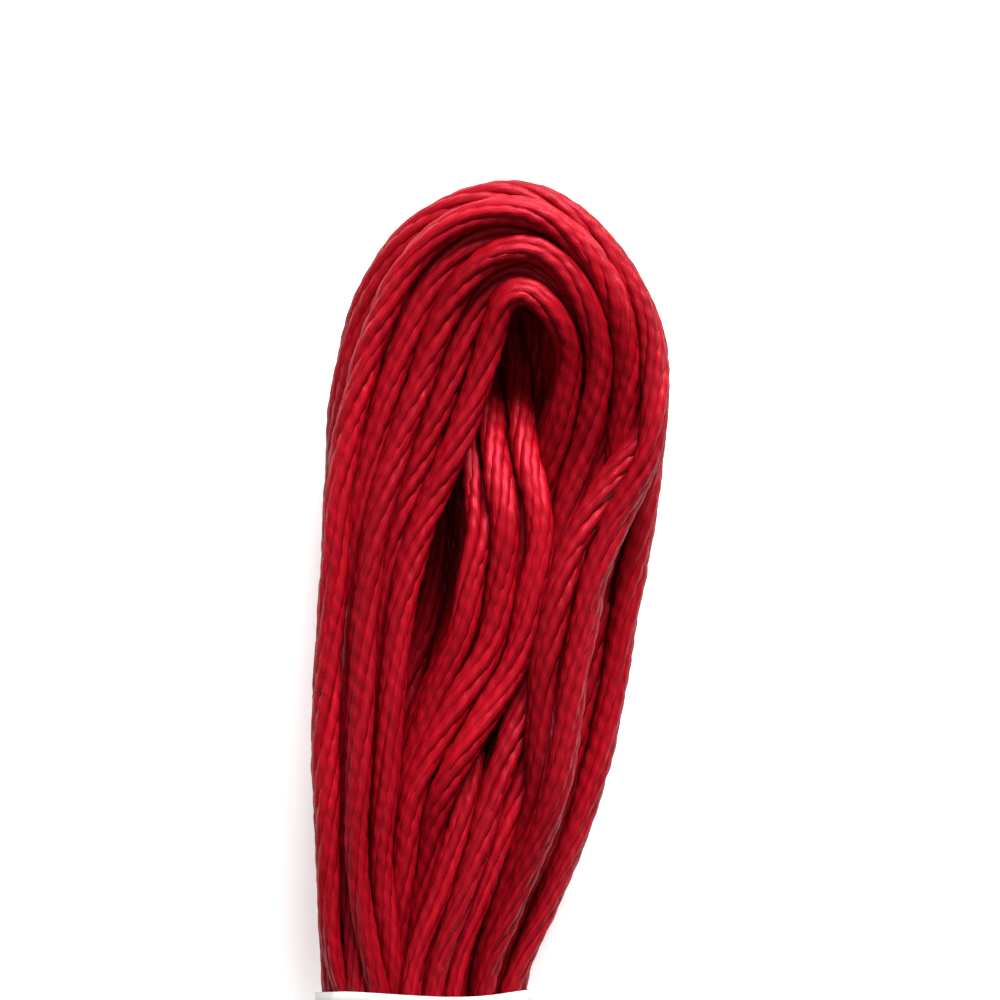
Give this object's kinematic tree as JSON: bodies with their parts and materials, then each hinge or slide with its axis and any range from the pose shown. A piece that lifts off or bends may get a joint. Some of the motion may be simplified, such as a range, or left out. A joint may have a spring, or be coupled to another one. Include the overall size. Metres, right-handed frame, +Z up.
{
  "type": "skein of macrame thread",
  "caption": "Skein of glossy red stranded cotton thread: long turns in twisted bunches, with a looped end standing out of a plain paper band.",
  "frame": {"origin": "centre of the bounding box's bottom face, on the surface the skein lies on", "axes": "+Y along the skein towards its looped end, +Z up from the surface it lies on, +X to the right of the pictured face"},
  "size_m": [0.0138, 0.1601, 0.007],
  "materials": {
    "thread": "silky mercerised cotton, satin sheen",
    "paper": "plain uncoated paper"
  },
  "bodies": {
    "root": {"skein": "thread", "band": "paper"}
  },
  "joints": []
}
